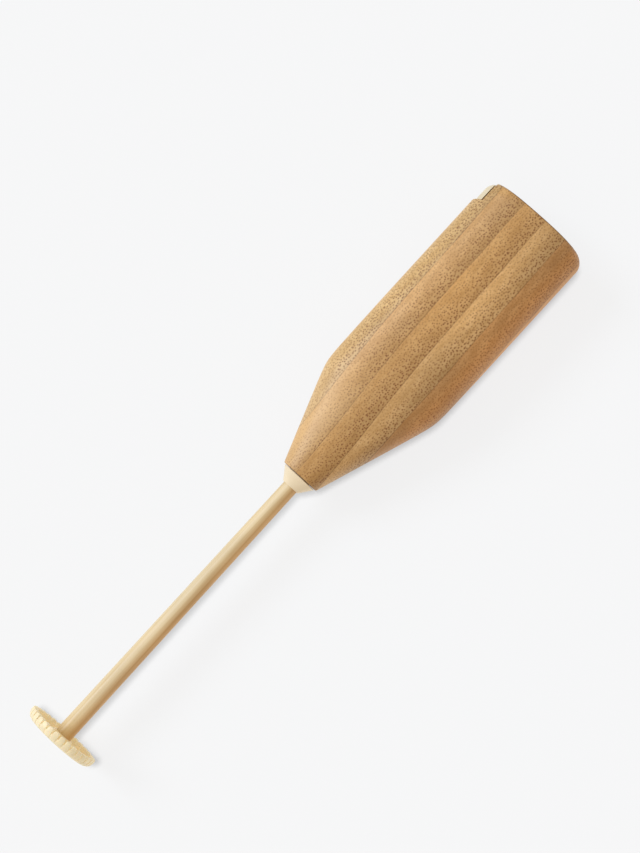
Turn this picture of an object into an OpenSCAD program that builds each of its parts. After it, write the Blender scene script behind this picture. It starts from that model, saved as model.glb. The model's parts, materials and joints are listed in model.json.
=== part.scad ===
// Battery tea whisk with a two-half bamboo handle, lying on its back.
// +X runs along the whisk from the head to the handle's end, +Z is the front face, +Y the button side.

/* [Handle] */
// Length of the whole whisk
whisk_length = 236; // [226:1:246]
// Distance from the head's outer face to the handle's narrow end
handle_start = 119.8; // [118:0.2:121]
// Width of the handle
handle_width = 41.8; // [41:0.2:44]
// Thickness of the handle before its resting flat is cut
handle_thickness = 28; // [28:0.2:30]
// Squareness of the handle's oval section (2 is an ellipse)
oval_power = 2.6; // [2.4:0.1:3]
// Width of the handle's narrow end
narrow_width = 14.1; // [14:0.1:16]
// Thickness of the handle's narrow end
narrow_thickness = 14; // [13.4:0.2:15]
// Angle of the taper's button side to the axis
near_taper_angle = 20.2; // [19:0.1:20.5]
// Angle of the taper's other side to the axis
far_taper_angle = 19.1; // [19:0.1:20.5]
// Radius of the two corners at the handle's end
end_corner = 4; // [3:0.5:4.5]
// Length over which the thickness grows to its full value
swell_length = 66; // [62:1:68]
// Thickness of the bamboo wall
wall = 2.6; // [2.2:0.1:2.8]
// How far the stick stands off the middle of the handle's width
axis_offset = 1.1; // [0:0.1:1.4]
// Depth of the resting flat on the back
flat_depth = 0.15; // [0.1:0.05:0.3]

/* [Whisk] */
// Diameter of the whisk head
head_diameter = 27.6; // [26:0.2:27.6]
// Height of the whisk head, teeth included
head_height = 3.8; // [3.4:0.1:4]
// Number of teeth round the head
tooth_count = 32; // [24:1:34]
// Diameter of the stick at the head
stick_head_diameter = 6.2; // [5.8:0.1:6.4]
// Diameter of the stick at the nose
stick_nose_diameter = 5.5; // [5:0.1:5.6]
// Diameter of the steel shaft inside the stick
shaft_diameter = 2; // [1.6:0.1:2.2]

/* [Thumb button] */
// Length of the notch at the handle's end
notch_length = 9; // [8:0.5:10]
// How far the pad lies below the handle's side
pad_recess = 0.7; // [0.6:0.1:1.4]
// Travel of the button
press_travel = 0.5; // [0.4:0.1:0.6]

/* [Cells] */
// Diameter of each cell
cell_diameter = 14.5; // [14:0.1:14.5]
// Length of each cell with its positive tip
cell_length = 50.5; // [49:0.1:50.5]

/* [Hidden] */
SIDES = 64;
gap = 0.3;
swell_power = 1.3;
swell_end = handle_start + swell_length;
half_width = handle_width / 2;
half_thickness = handle_thickness / 2;
rest_level = half_thickness - flat_depth;
near_slope = tan(near_taper_angle);
far_slope = tan(far_taper_angle);
narrow_half = narrow_width / 2;
shoulder_near = handle_start + (half_width - axis_offset - narrow_half) / near_slope;
shoulder_far = handle_start + (half_width + axis_offset - narrow_half) / far_slope;
shaft_radius = shaft_diameter / 2;
shaft_clearance = 0.05;

// Stations along the axis, from the head's outer face
nose_tip = handle_start - 4.8;
nose_base = handle_start - 0.3;
cavity_start = handle_start + 5;
inner_end = whisk_length - wall;
corner_start = whisk_length - end_corner;
pad_end = whisk_length - 1.1;
motor_start = handle_start + 22.7;
motor_length = 20;
motor_end = motor_start + motor_length;
cap_end = motor_end + 4;
cradle_start = handle_start + 50.2;
cradle_wall = 1.5;
cell_room = 4.5;
cell_start = cradle_start + cell_room;
cell_end = cell_start + cell_length;
cradle_end = cell_end + cell_room;
shaft_end = handle_start + 15.8;
rotor_start = handle_start + 16.2;

// Radii and sections
head_radius = head_diameter / 2;
rim_width = 2;
rim_height = 2;
rim_slope = 1.2;
web_bottom = 0.5;
web_top = 1.4;
tooth_radius = 0.95;
tooth_circle = head_radius - tooth_radius - 0.05;
tooth_start = 1.7;
slope_height = 1.5;
socket_radius = 4.1;
socket_top = 3;
spigot_radius = 4.2;
nose_bore = 2.4;
bush_radius = 2.38;
can_radius = 9;
can_half = 6.6;
can_wall = 0.7;
pocket_radius = cell_diameter / 2 + 0.15;
cell_offset = 7.45;
cell_level = 0.3;
cradle_half = 15.8;
cradle_floor = -8.7;
lug_floor = -8.3;
lug_half = 11.6;
rail_offset = 9.9;
rail_half = 0.7;
rail_level = 2.2;
lead_level = -7;
lead_radius = 0.5;
notch_floor = half_width - 3.7;
pad_floor = notch_floor + press_travel + 0.1;
skirt_low = notch_floor - 0.2;
skirt_outer = 4.9;
skirt_inner = 4.2;
stem_start = cradle_end + 0.8;
stem_end = stem_start + 2;
stem_half = 2;
foot_half = 2.8;
guide_bottom = notch_floor - 2;
guide_top = notch_floor - gap;
notch_skin = 1;
opening_half = 6;
guide_half = 4;
foot_bottom = guide_bottom - 2.1;
leaf_top = foot_bottom - press_travel - 0.1;
contact_top = leaf_top - 1.2;
blade = 0.3;
blade_low = -6.8;
blade_high = 3;
blade_tail = -4.8;
tail_lead_level = blade_low - lead_radius - 0.1;
rotor_radius = 5.6;
magnet_inner = 6.1;
shoe_thickness = 0.9;
plate_low = -4.5;
plate_high = 5.5;
plate_thickness = 0.4;
plate_half = 5.4;
cradle_screw_level = -6.6;
cradle_screws = [[cell_start + 8, 0], [cell_end - 8, 0]];
lug_screws = [[cap_end + 1.5, 9.6], [cap_end + 1.5, -9.6]];
lug_screw_level = -7;
post_base = -half_thickness + 2.3;
screw_hole_end = post_base + 0.2;
screw_tip = post_base + 0.4;

bamboo = [0.80, 0.63, 0.42];
bamboo_pale = [0.85, 0.72, 0.52];
stick_colour = [0.85, 0.77, 0.55];
cream = [0.93, 0.87, 0.74];
head_colour = [0.94, 0.88, 0.70];
steel = [0.72, 0.73, 0.75];
brass = [0.80, 0.66, 0.33];
copper = [0.76, 0.45, 0.25];
dark = [0.22, 0.22, 0.24];

// Moves a child from the stations' coordinates to the whisk's own frame
module place() {
    translate([-whisk_length / 2, 0, rest_level]) children();
}

// Moves a child on to the drive axis, which runs along X
module on_axis(x) {
    translate([x, axis_offset, 0]) rotate([0, 90, 0]) children();
}

module rod(x1, x2, radius) {
    on_axis(x1) cylinder(h = x2 - x1, r = radius, $fn = 64);
}

module tube(x1, x2, outer, inner) {
    difference() {
        rod(x1, x2, outer);
        rod(x1 - 1, x2 + 1, inner);
    }
}

// Block between two corners
module block(low, high) {
    translate(low) cube(high - low);
}

// Extrudes a section drawn in Y and Z along X
module along_x(x1, x2) {
    translate([x1, 0, 0]) rotate([90, 0, 90]) linear_extrude(height = x2 - x1) children();
}

// Half width of the handle on the button side (1) or the other side (-1)
function half_width_at(x, side) =
    let (slope = side > 0 ? near_slope : far_slope)
    min(half_width - corner_inset(x), narrow_half + side * axis_offset + slope * (x - handle_start));

// How far the rounded corners draw the handle's sides in near its end
function corner_inset(x) =
    let (reach = max(0, x - corner_start))
    end_corner - sqrt(max(0, end_corner * end_corner - reach * reach));

// Half thickness of the handle, which swells ever more gently towards its full value
function half_thickness_at(x) =
    let (remaining = 1 - min(1, (x - handle_start) / swell_length))
    narrow_thickness / 2 + (half_thickness - narrow_thickness / 2) * (1 - pow(remaining, swell_power));

function signed_power(value) = sign(value) * pow(abs(value), 2 / oval_power);

// One oval ring of the handle's surface, set in by a wall
function ring(x, inset) = [
    for (i = [0 : SIDES - 1])
        let (angle = 360 * i / SIDES, side = cos(angle) >= 0 ? 1 : -1)
        [
            x,
            signed_power(cos(angle)) * (half_width_at(x, side) - inset),
            signed_power(sin(angle)) * (half_thickness_at(x) - inset)
        ]
];

// Closed solid through rings at a list of stations
module loft(stations, inset) {
    count = len(stations);
    points = [for (x = stations) each ring(x, inset)];
    walls = [
        for (s = [0 : count - 2], i = [0 : SIDES - 1])
            let (
                j = (i + 1) % SIDES,
                a = s * SIDES + i,
                b = s * SIDES + j,
                c = (s + 1) * SIDES + j,
                d = (s + 1) * SIDES + i
            )
            each [[c, b, a], [d, c, a]]
    ];
    start_cap = [for (i = [0 : SIDES - 1]) i];
    end_cap = [for (i = [SIDES - 1 : -1 : 0]) (count - 1) * SIDES + i];
    polyhedron(points = points, faces = concat(walls, [start_cap, end_cap]));
}

// Places of the loft's rings from the narrow end to where the thickness has its full value
function swell_stations(first) = concat(
    [for (i = [0 : 4]) first + (shoulder_near - first) * i / 4],
    [for (i = [0 : 3]) shoulder_far + (swell_end - shoulder_far) * i / 3]
);

// Places of the loft's rings round the end's corners, up to the last one
function corner_stations(last) =
    let (turn = asin((last - corner_start) / end_corner))
    [for (i = [0 : 5]) corner_start + end_corner * sin(turn * i / 5)];

module handle_outside() {
    loft(concat(swell_stations(handle_start), corner_stations(whisk_length)), 0);
}

module handle_inside() {
    loft(concat(swell_stations(cavity_start), corner_stations(inner_end)), wall);
}

// Bamboo left under the notch, with an opening for the switch
module notch_bed() {
    bed_start = whisk_length - notch_length - 2;
    difference() {
        block([bed_start, notch_floor - notch_skin, -half_thickness], [whisk_length, half_width, half_thickness]);
        block([bed_start - 1, 0, -opening_half], [whisk_length, notch_floor + 0.02, opening_half]);
    }
}

module post(spot, top) {
    translate([spot[0], spot[1], post_base]) cylinder(h = top - post_base, r = 2.4, $fn = 32);
}

// Bamboo posts that the chassis screws bite into
module screw_posts() {
    for (spot = cradle_screws) post(spot, cradle_floor - 0.02);
    for (spot = lug_screws) post(spot, lug_floor - 0.02);
}

module screw_holes() {
    for (spot = concat(cradle_screws, lug_screws))
        translate([spot[0], spot[1], screw_hole_end]) cylinder(h = half_thickness, r = 0.8, $fn = 24);
}

// Step milled across the narrow side for the thumb button, open at the handle's end
module button_notch() {
    translate([0, 0, -half_thickness]) linear_extrude(height = handle_thickness)
        polygon([
            [whisk_length - notch_length - 0.6, half_width + 1],
            [whisk_length - notch_length - 0.4, half_width],
            [whisk_length - notch_length + 1, notch_floor],
            [whisk_length + 1, notch_floor],
            [whisk_length + 1, half_width + 1]
        ]);
}

module handle_half(is_front) {
    difference() {
        intersection() {
            handle_outside();
            block([handle_start - 1, -half_width - 1, is_front ? 0 : -rest_level],
                [whisk_length + 1, half_width + 1, is_front ? half_thickness + 1 : 0]);
        }
        difference() {
            handle_inside();
            notch_bed();
        }
        on_axis(handle_start - 1) cylinder(h = cavity_start - handle_start + 3, r = spigot_radius + 0.2, $fn = 64);
        button_notch();
    }
}

module back_shell() {
    color(bamboo) place() {
        difference() {
            union() {
                handle_half(false);
                screw_posts();
            }
            screw_holes();
        }
    }
}

module front_shell() {
    color(bamboo_pale) place() handle_half(true);
}

// Cream nose: a short cone outside and a spigot inside the handle
module nose_cone() {
    color(cream) place() difference() {
        union() {
            on_axis(nose_tip) cylinder(h = nose_base - nose_tip, r1 = 3.3, r2 = 6.45, $fn = 96);
            rod(nose_base, cavity_start + 5.5, spigot_radius);
        }
        rod(nose_tip - 1, nose_tip + 2.4, stick_nose_diameter / 2 + 0.2);
        rod(nose_tip, nose_tip + 4, 1.4);
        rod(nose_tip + 3.3, whisk_length, nose_bore);
    }
}

module nose_seal() {
    color(dark) place() tube(nose_tip + 3.4, nose_tip + 4.6, bush_radius, shaft_radius + 0.08);
}

module shaft_bushes() {
    color(brass) place() {
        tube(nose_tip + 4.7, nose_tip + 8.7, bush_radius, shaft_radius + shaft_clearance);
        tube(cavity_start + 1.5, cavity_start + 5.5, bush_radius, shaft_radius + shaft_clearance);
    }
}

// Section of the cell cradle: a trough open to the front with a pocket for each cell
module cradle_outline() {
    polygon([
        [-cradle_half, 4.5], [-cradle_half, -4.5], [-10.5, cradle_floor],
        [10.5, cradle_floor], [cradle_half, -4.5], [cradle_half, 4.5]
    ]);
}

module cradle_pockets() {
    along_x(cradle_start + cradle_wall, cradle_end - cradle_wall) {
        for (side = [-1, 1]) translate([side * cell_offset, cell_level]) circle(r = pocket_radius, $fn = 64);
        translate([-cell_offset - pocket_radius, cell_level]) square([2 * (cell_offset + pocket_radius), 8]);
    }
}

module chassis_collar() {
    tube(cavity_start + 3, cavity_start + 7, spigot_radius + 1, spigot_radius + 0.05);
    for (side = [-1, 1])
        block([cavity_start + 5, axis_offset + side * 5.1 - 0.8, -2],
            [motor_start - 1.5, axis_offset + side * 5.1 + 0.8, 2]);
}

// Plate in front of the motor, with a hole for the motor's boss
module motor_bulkhead() {
    difference() {
        along_x(motor_start - 2.3, motor_start - 0.2) translate([axis_offset, 0]) polygon([
            [-10.6, 2.4], [-10.6, -2.4], [-8.5, -4], [-5, -6.3], [5, -6.3], [8.5, -4],
            [10.6, -2.4], [10.6, 2.4], [8.5, 4], [5, 6.3], [-5, 6.3], [-8.5, 4]
        ]);
        rod(motor_start - 4, motor_start + 1, 3.2);
    }
}

// Two rails beside the motor and a bed under its rear half
module motor_rails() {
    for (side = [-1, 1])
        block([motor_start - 2.3, axis_offset + side * rail_offset - rail_half, -rail_level],
            [cradle_start + 1, axis_offset + side * rail_offset + rail_half, rail_level]);
    block([motor_start + 8, axis_offset - 4, -7.9], [cradle_start + 1, axis_offset + 4, -can_half - 0.1]);
}

module chassis() {
    color(cream) place() difference() {
        union() {
            chassis_collar();
            motor_bulkhead();
            motor_rails();
            block([cap_end + 0.2, -lug_half, lug_floor], [cradle_start + 1, lug_half, lug_screw_level]);
            difference() {
                along_x(cradle_start, cradle_end) cradle_outline();
                cradle_pockets();
            }
        }
        for (spot = cradle_screws) {
            translate([spot[0], spot[1], cradle_floor - 1]) cylinder(h = 12, r = 1.15, $fn = 32);
            translate([spot[0], spot[1], cradle_screw_level]) cylinder(h = 12, r = 2.1, $fn = 32);
        }
        for (spot = lug_screws)
            translate([spot[0], spot[1], cradle_floor - 1]) cylinder(h = 12, r = 1.15, $fn = 32);
    }
}

module screw(level, spot) {
    translate([spot[0], spot[1], level]) difference() {
        union() {
            cylinder(h = 1.3, r = 1.9, $fn = 32);
            translate([0, 0, screw_tip - level]) cylinder(h = level - screw_tip + 0.1, r = 0.75, $fn = 24);
        }
        translate([0, 0, 1.1]) cube([0.5, 2.6, 1.4], center = true);
        translate([0, 0, 1.1]) cube([2.6, 0.5, 1.4], center = true);
    }
}

module chassis_screws() {
    color(steel) place() {
        for (spot = cradle_screws) screw(cradle_screw_level + 0.02, spot);
        for (spot = lug_screws) screw(lug_screw_level + 0.02, spot);
    }
}

// Toothed disc: rim, thin web, socket for the stick and rounded teeth that point at the handle
module whisk_head() {
    color(head_colour) place() difference() {
        union() {
            difference() {
                union() {
                    on_axis(0)
                        cylinder(h = slope_height, r1 = head_radius - rim_slope, r2 = head_radius, $fn = 96);
                    on_axis(slope_height) cylinder(h = rim_height - slope_height, r = head_radius, $fn = 96);
                }
                on_axis(web_top) cylinder(h = rim_height, r = head_radius - rim_width, $fn = 96);
            }
            rod(web_bottom, socket_top, socket_radius);
            for (i = [0 : tooth_count - 1])
                on_axis(tooth_start) rotate([0, 0, 360 * i / tooth_count]) translate([tooth_circle, 0, 0]) {
                    cylinder(h = head_height - tooth_radius - tooth_start, r = tooth_radius, $fn = 24);
                    translate([0, 0, head_height - tooth_radius - tooth_start])
                        sphere(r = tooth_radius, $fn = 24);
                }
        }
        rod(web_top + 0.1, socket_top + 1, stick_head_diameter / 2 + 0.03);
    }
}

module stick() {
    color(stick_colour) place() difference() {
        on_axis(web_top + 0.15) cylinder(h = nose_tip + 1.9 - web_top, r1 = stick_head_diameter / 2,
            r2 = stick_nose_diameter / 2, $fn = 96);
        rod(web_top + 1, nose_tip + 4, shaft_radius + 0.03);
    }
}

module drive_shaft() {
    color(steel) place() rod(web_top + 1.1, shaft_end, shaft_radius);
}

module shaft_coupling() {
    color(dark) place() tube(cavity_start + 7.8, handle_start + 20, 2.6, shaft_radius + 0.02);
}

// Section of the motor's can: a round tube with two flats
module can_section(inset) {
    intersection() {
        circle(r = can_radius - inset, $fn = 96);
        square([2 * can_radius, 2 * (can_half - inset)], center = true);
    }
}

module motor_can() {
    color(steel) place() difference() {
        union() {
            along_x(motor_start, motor_end) translate([axis_offset, 0]) can_section(0);
            rod(motor_start - 1.5, motor_start + 1, 3);
        }
        along_x(motor_start + 0.8, motor_end + 1) translate([axis_offset, 0]) can_section(can_wall);
        rod(motor_start - 2, motor_start + 1, 2.2);
    }
}

module motor_bushes() {
    color(brass) place() {
        tube(motor_start - 1.5, motor_start + 0.8, 2.18, shaft_radius + shaft_clearance);
        tube(motor_end + 2, cap_end, 2.18, shaft_radius + shaft_clearance);
    }
}

// Two arc magnets, one on each round side of the can
module motor_magnets() {
    color(dark) place() intersection() {
        tube(motor_start + 3, motor_start + 17, can_radius - can_wall - 0.05, magnet_inner);
        for (side = [-1, 1])
            translate([motor_start + 10, axis_offset + side * 8, 0]) cube([20, 9.2, 11.4], center = true);
    }
}

module motor_cap() {
    color(cream) place() difference() {
        union() {
            along_x(motor_end + 0.05, cap_end) translate([axis_offset, 0]) can_section(0.2);
            along_x(motor_end - 1.5, motor_end + 1) translate([axis_offset, 0]) can_section(can_wall + 0.05);
        }
        rod(motor_start, motor_end + 1, 5.2);
        rod(motor_start, cap_end + 1, 2.2);
    }
}

module motor_terminals() {
    color(brass) place() for (side = [-1, 1])
        block([cap_end, axis_offset + side * 6.2 - 1.1, -0.25],
            [cap_end + 2.4, axis_offset + side * 6.2 + 1.1, 0.25]);
}

module motor_brushes() {
    color(copper) place() for (side = [-1, 1])
        block([motor_end - 3.6, axis_offset - 1.1, side > 0 ? 2.2 : -2.45],
            [motor_end + 1, axis_offset + 1.1, side > 0 ? 2.45 : -2.2]);
}

module rotor_shaft() {
    color(steel) place() rod(rotor_start, cap_end + 1.2, shaft_radius);
}

// Laminated core with three poles
module rotor_core() {
    color(steel) place() difference() {
        union() {
            rod(motor_start + 5, motor_start + 15, 2.4);
            for (i = [0 : 2])
                on_axis(motor_start + 5) rotate([0, 0, 120 * i]) translate([0, -1.1, 0])
                    cube([rotor_radius - shoe_thickness / 2, 2.2, 10]);
            intersection() {
                tube(motor_start + 5, motor_start + 15, rotor_radius, rotor_radius - shoe_thickness);
                for (i = [0 : 2])
                    on_axis(motor_start + 5) rotate([0, 0, 120 * i]) linear_extrude(height = 10)
                        polygon([[0, 0], [8, -6.4], [8, 6.4]]);
            }
        }
        rod(motor_start, motor_end, shaft_radius + 0.01);
    }
}

// One coil round each pole's neck
module rotor_windings() {
    color(copper) place() for (i = [0 : 2])
        on_axis(motor_start + 4) rotate([0, 0, 120 * i]) difference() {
            translate([2.7, -2.1, 0]) cube([1.4, 4.2, 12]);
            translate([2.4, -1.15, 0.9]) cube([3, 2.3, 10.2]);
        }
}

module commutator() {
    color(copper) place() difference() {
        tube(motor_end - 3.4, motor_end + 0.6, 2, shaft_radius + 0.02);
        for (i = [0 : 2])
            on_axis(motor_end - 3.5) rotate([0, 0, 60 + 120 * i]) translate([1.6, -0.15, 0]) cube([1, 0.3, 5]);
    }
}

// Cell with its positive tip towards +X (1) or -X (-1)
module cell(side, direction) {
    body_length = cell_length - 1.2;
    middle = (cell_start + cell_end) / 2;
    translate([middle, side * cell_offset, cell_level]) rotate([0, 90 * direction, 0])
        translate([0, 0, -cell_length / 2]) union() {
            cylinder(h = body_length, r = cell_diameter / 2, $fn = 96);
            cylinder(h = cell_length, r = 2.7, $fn = 48);
        }
}

module battery_near() {
    color([0.28, 0.42, 0.34]) place() cell(1, 1);
}

module battery_far() {
    color([0.28, 0.42, 0.34]) place() cell(-1, -1);
}

// Conical coil spring between two stations, its wire swept along a helix
module coil(x1, x2, y, r1, r2) {
    turns = 3.5;
    per_turn = 14;
    wire = 0.3;
    steps = turns * per_turn;
    sides = 6;
    lead = (x2 - x1 - 2 * wire * sign(x2 - x1)) / steps;
    points = [
        for (s = [0 : steps], k = [0 : sides - 1])
            let (
                angle = 360 * s / per_turn,
                radius = r1 + (r2 - r1) * s / steps + wire * cos(360 * k / sides),
                along = x1 + wire * sign(x2 - x1) + lead * s + wire * sin(360 * k / sides)
            )
            [along, y + radius * cos(angle), cell_level + radius * sin(angle)]
    ];
    faces = [
        for (s = [0 : steps - 1], k = [0 : sides - 1])
            let (
                n = (k + 1) % sides,
                a = s * sides + k,
                b = s * sides + n,
                c = (s + 1) * sides + n,
                d = (s + 1) * sides + k
            )
            each [[a, b, c], [a, c, d]]
    ];
    polyhedron(points = points, faces = concat(faces,
        [[for (k = [sides - 1 : -1 : 0]) k]], [[for (k = [0 : sides - 1]) steps * sides + k]]));
}

module battery_springs() {
    color(steel) place() {
        coil(cradle_start + cradle_wall + plate_thickness, cell_start - 0.05, cell_offset, 5, 3);
        coil(cradle_end - cradle_wall - plate_thickness, cell_end + 0.05, -cell_offset, 5, 3);
    }
}

// Plates at the motor end: a flat one behind the spring and one with a boss for the cell's tip
module battery_plates() {
    color(brass) place() for (side = [-1, 1]) {
        block([cradle_start + cradle_wall, side * cell_offset - plate_half, plate_low],
            [cradle_start + cradle_wall + plate_thickness, side * cell_offset + plate_half, plate_high]);
        if (side < 0)
            translate([cradle_start + cradle_wall + 0.3, side * cell_offset, cell_level]) rotate([0, 90, 0])
                cylinder(h = cell_start - cradle_start - cradle_wall - 0.35, r = 2.4, $fn = 48);
    }
}

// Strip that joins the two cells at the handle's end
module bridge_strip() {
    color(brass) place() {
        block([cradle_end - cradle_wall - plate_thickness, -cell_offset - plate_half, 0.5],
            [cradle_end - cradle_wall, cell_offset + plate_half, plate_high]);
        for (side = [-1, 1])
            block([cradle_end - cradle_wall - plate_thickness, side * cell_offset - plate_half, plate_low],
                [cradle_end - cradle_wall, side * cell_offset + plate_half, 0.6]);
        translate([cell_end + 0.05, cell_offset, cell_level]) rotate([0, 90, 0])
            cylinder(h = cradle_end - cradle_wall - cell_end - 0.35, r = 2.4, $fn = 48);
    }
}

// Thumb pad that follows the handle's side, with a stem, a wider foot behind the guide
// and a skirt on each side that closes the gap under the pad
module thumb_button() {
    pad_start = whisk_length - notch_length + 1.2;
    color(cream) place() union() {
        intersection() {
            loft(concat([shoulder_far], corner_stations(pad_end)), pad_recess);
            translate([0, 0, -half_thickness]) linear_extrude(height = handle_thickness)
                polygon([
                    [pad_start - 1.1, half_width],
                    [pad_start - 0.15, pad_floor],
                    [pad_end + 1, pad_floor],
                    [pad_end + 1, half_width]
                ]);
        }
        block([stem_start, guide_bottom - 1, -stem_half], [stem_end, pad_floor + 0.5, stem_half]);
        block([stem_start, foot_bottom, -foot_half], [stem_end, guide_bottom - 0.3, foot_half]);
        for (side = [-1, 1])
            block([pad_start + 0.1, skirt_low, side > 0 ? skirt_inner : -skirt_outer],
                [inner_end - 0.3, pad_floor + 0.3, side > 0 ? skirt_outer : -skirt_inner]);
    }
}

// Guide that the button's stem runs in, standing on the cradle's end wall
module switch_base() {
    color(cream) place() difference() {
        block([cradle_end + 0.02, guide_bottom, -guide_half], [inner_end - 0.1, guide_top, guide_half]);
        block([stem_start - gap, guide_bottom - 1, -stem_half - gap],
            [stem_end + gap, guide_top + 1, stem_half + gap]);
    }
}

// Thin blade under the button's foot, with a tail that reaches back to the cradle's end wall
module switch_blade(top) {
    block([stem_start, top - blade, blade_low], [stem_end, top, blade_high]);
    block([cradle_end + 0.02, top - blade, blade_low], [stem_start + 0.1, top, blade_tail]);
}

module switch_leaf() {
    color(brass) place() switch_blade(leaf_top);
}

module switch_contact() {
    color(brass) place() switch_blade(contact_top);
}

// Point on the smooth curve through four neighbouring route points
function spline(p, q, r, s, t) =
    0.5 * (2 * q + (r - p) * t + (2 * p - 5 * q + 4 * r - s) * t * t + (3 * q - p - 3 * r + s) * t * t * t);

// Route points joined by a smooth curve, with a few points on each stretch
function smooth(route, steps) = [
    for (i = [0 : len(route) - 2], k = [0 : steps - 1])
        spline(route[max(0, i - 1)], route[i], route[i + 1], route[min(len(route) - 1, i + 2)], k / steps),
    route[len(route) - 1]
];

function unit(v) = v / norm(v);

// Round wire swept along a smooth route
module wire(route) {
    sides = 8;
    path = smooth(route, 4);
    count = len(path);
    reference = unit([0.35, 0.2, 1]);
    points = [
        for (i = [0 : count - 1])
            let (
                along = unit(path[min(count - 1, i + 1)] - path[max(0, i - 1)]),
                across = unit(cross(along, reference)),
                up = cross(across, along)
            )
            for (k = [0 : sides - 1])
                path[i] + lead_radius * (across * cos(360 * k / sides) + up * sin(360 * k / sides))
    ];
    walls = [
        for (i = [0 : count - 2], k = [0 : sides - 1])
            let (
                n = (k + 1) % sides,
                a = i * sides + k,
                b = i * sides + n,
                c = (i + 1) * sides + n,
                d = (i + 1) * sides + k
            )
            each [[a, b, c], [a, c, d]]
    ];
    start_cap = [for (k = [sides - 1 : -1 : 0]) k];
    end_cap = [for (k = [0 : sides - 1]) (count - 1) * sides + k];
    polyhedron(points = points, faces = concat(walls, [start_cap, end_cap]));
}

// From the far-side terminal, round the cradle, to the switch contact
module motor_lead() {
    side_x = cradle_start - 0.8;
    color([0.15, 0.15, 0.16]) place() wire([
        [cap_end + 1.5, axis_offset - 6.2, -0.9],
        [cap_end + 1.5, -8, -3.6],
        [side_x, -13.5, -5.6],
        [cradle_start + 3, -14, lead_level],
        [cradle_end - 2, -14, lead_level],
        [cradle_end + 1.6, -12.5, lead_level],
        [cradle_end + 1.6, 8, tail_lead_level],
        [cradle_end + 1.6, contact_top - blade / 2, tail_lead_level]
    ]);
}

// From the switch leaf back to the negative plate
module switch_lead() {
    color([0.75, 0.12, 0.10]) place() wire([
        [cradle_end + 1.6, leaf_top - blade / 2, tail_lead_level],
        [cradle_end + 1.6, 13, tail_lead_level],
        [cradle_end - 2, 14, lead_level],
        [cradle_start + 3, 14, lead_level],
        [cradle_start - 0.8, 13.4, -5.6],
        [cradle_start - 0.8, 9, -4.2]
    ]);
}

// From the positive plate to the near-side terminal
module cell_lead() {
    color([0.75, 0.12, 0.10]) place() wire([
        [cradle_start - 0.8, -8, 4.8],
        [cradle_start - 0.8, 0, 4.8],
        [cap_end + 1.5, axis_offset + 5, 2.6],
        [cap_end + 1.5, axis_offset + 6.2, 0.9]
    ]);
}

back_shell();
front_shell();
nose_cone();
chassis();
chassis_screws();
whisk_head();
stick();
drive_shaft();
shaft_coupling();
shaft_bushes();
nose_seal();
motor_can();
motor_magnets();
motor_cap();
motor_bushes();
motor_brushes();
motor_terminals();
rotor_shaft();
rotor_core();
rotor_windings();
commutator();
battery_near();
battery_far();
battery_springs();
battery_plates();
bridge_strip();
thumb_button();
switch_base();
switch_leaf();
switch_contact();
motor_lead();
switch_lead();
cell_lead();
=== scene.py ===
"""Looks of the battery tea whisk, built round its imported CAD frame. Lengths are in metres."""

import json
import math

import bmesh
import bpy
import numpy as np
from mathutils import Matrix, Vector


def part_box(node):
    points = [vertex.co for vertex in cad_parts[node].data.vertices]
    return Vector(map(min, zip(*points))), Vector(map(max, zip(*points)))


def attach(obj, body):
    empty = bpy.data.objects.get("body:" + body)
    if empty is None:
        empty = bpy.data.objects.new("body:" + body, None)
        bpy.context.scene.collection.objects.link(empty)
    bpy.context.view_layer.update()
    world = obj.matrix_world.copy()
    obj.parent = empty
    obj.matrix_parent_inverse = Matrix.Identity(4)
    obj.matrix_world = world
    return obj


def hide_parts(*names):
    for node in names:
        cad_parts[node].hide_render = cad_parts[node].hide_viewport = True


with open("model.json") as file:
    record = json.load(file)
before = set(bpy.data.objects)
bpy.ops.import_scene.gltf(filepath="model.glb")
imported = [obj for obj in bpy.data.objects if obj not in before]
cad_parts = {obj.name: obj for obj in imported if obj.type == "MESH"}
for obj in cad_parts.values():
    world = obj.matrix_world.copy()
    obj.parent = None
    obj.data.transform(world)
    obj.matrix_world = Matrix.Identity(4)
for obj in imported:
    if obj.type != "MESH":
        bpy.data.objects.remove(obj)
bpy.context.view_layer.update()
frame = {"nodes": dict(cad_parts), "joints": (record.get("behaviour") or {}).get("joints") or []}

MM = 0.001

# ---------------------------------------------------------------- sizes, from the frame
JOINTS = {j["name"]: j for j in frame["joints"]}
AXIS_Y, AXIS_Z = JOINTS["whisk_spin"]["pos_m"][1:]
HANDLE_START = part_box("front_shell")[0].x
HANDLE_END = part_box("front_shell")[1].x
HALF_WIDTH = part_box("front_shell")[1].y
HALF_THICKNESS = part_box("front_shell")[1].z - AXIS_Z
HEAD_LOW, HEAD_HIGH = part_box("whisk_head")
HEAD_RADIUS = (HEAD_HIGH.y - HEAD_LOW.y) / 2
NOSE_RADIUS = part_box("nose_cone")[1].y - AXIS_Y
STICK_LOW, STICK_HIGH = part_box("stick")

# ---------------------------------------------------------------- the handle's shape
# Its section is a rounded oblong, which tapers in width and thickness to the nose.
# "Near" is the side with the button, where a notch is milled into the end.
OVAL_POWER = 2.6
NEAR_TAPER_SLOPE = math.tan(math.radians(20.2))
FAR_TAPER_SLOPE = math.tan(math.radians(19.1))
NARROW_HALF_WIDTH = 7.05 * MM
NARROW_HALF_THICKNESS = 7.0 * MM
SWELL_LENGTH = 66 * MM
SWELL_POWER = 1.3
SHOULDER_ROUNDING = 1.1 * MM
END_CORNER = 4 * MM
WALL = 2.6 * MM
CAVITY_START = HANDLE_START + 5 * MM
CAVITY_END = HANDLE_END - WALL
NOSE_HOLE = 4.4 * MM
NOTCH_LENGTH = 9 * MM
NOTCH_STEP_START = HANDLE_END - NOTCH_LENGTH - 0.4 * MM
NOTCH_STEP_LENGTH = 1.4 * MM
NOTCH_FLOOR = HALF_WIDTH - 3.7 * MM
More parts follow.
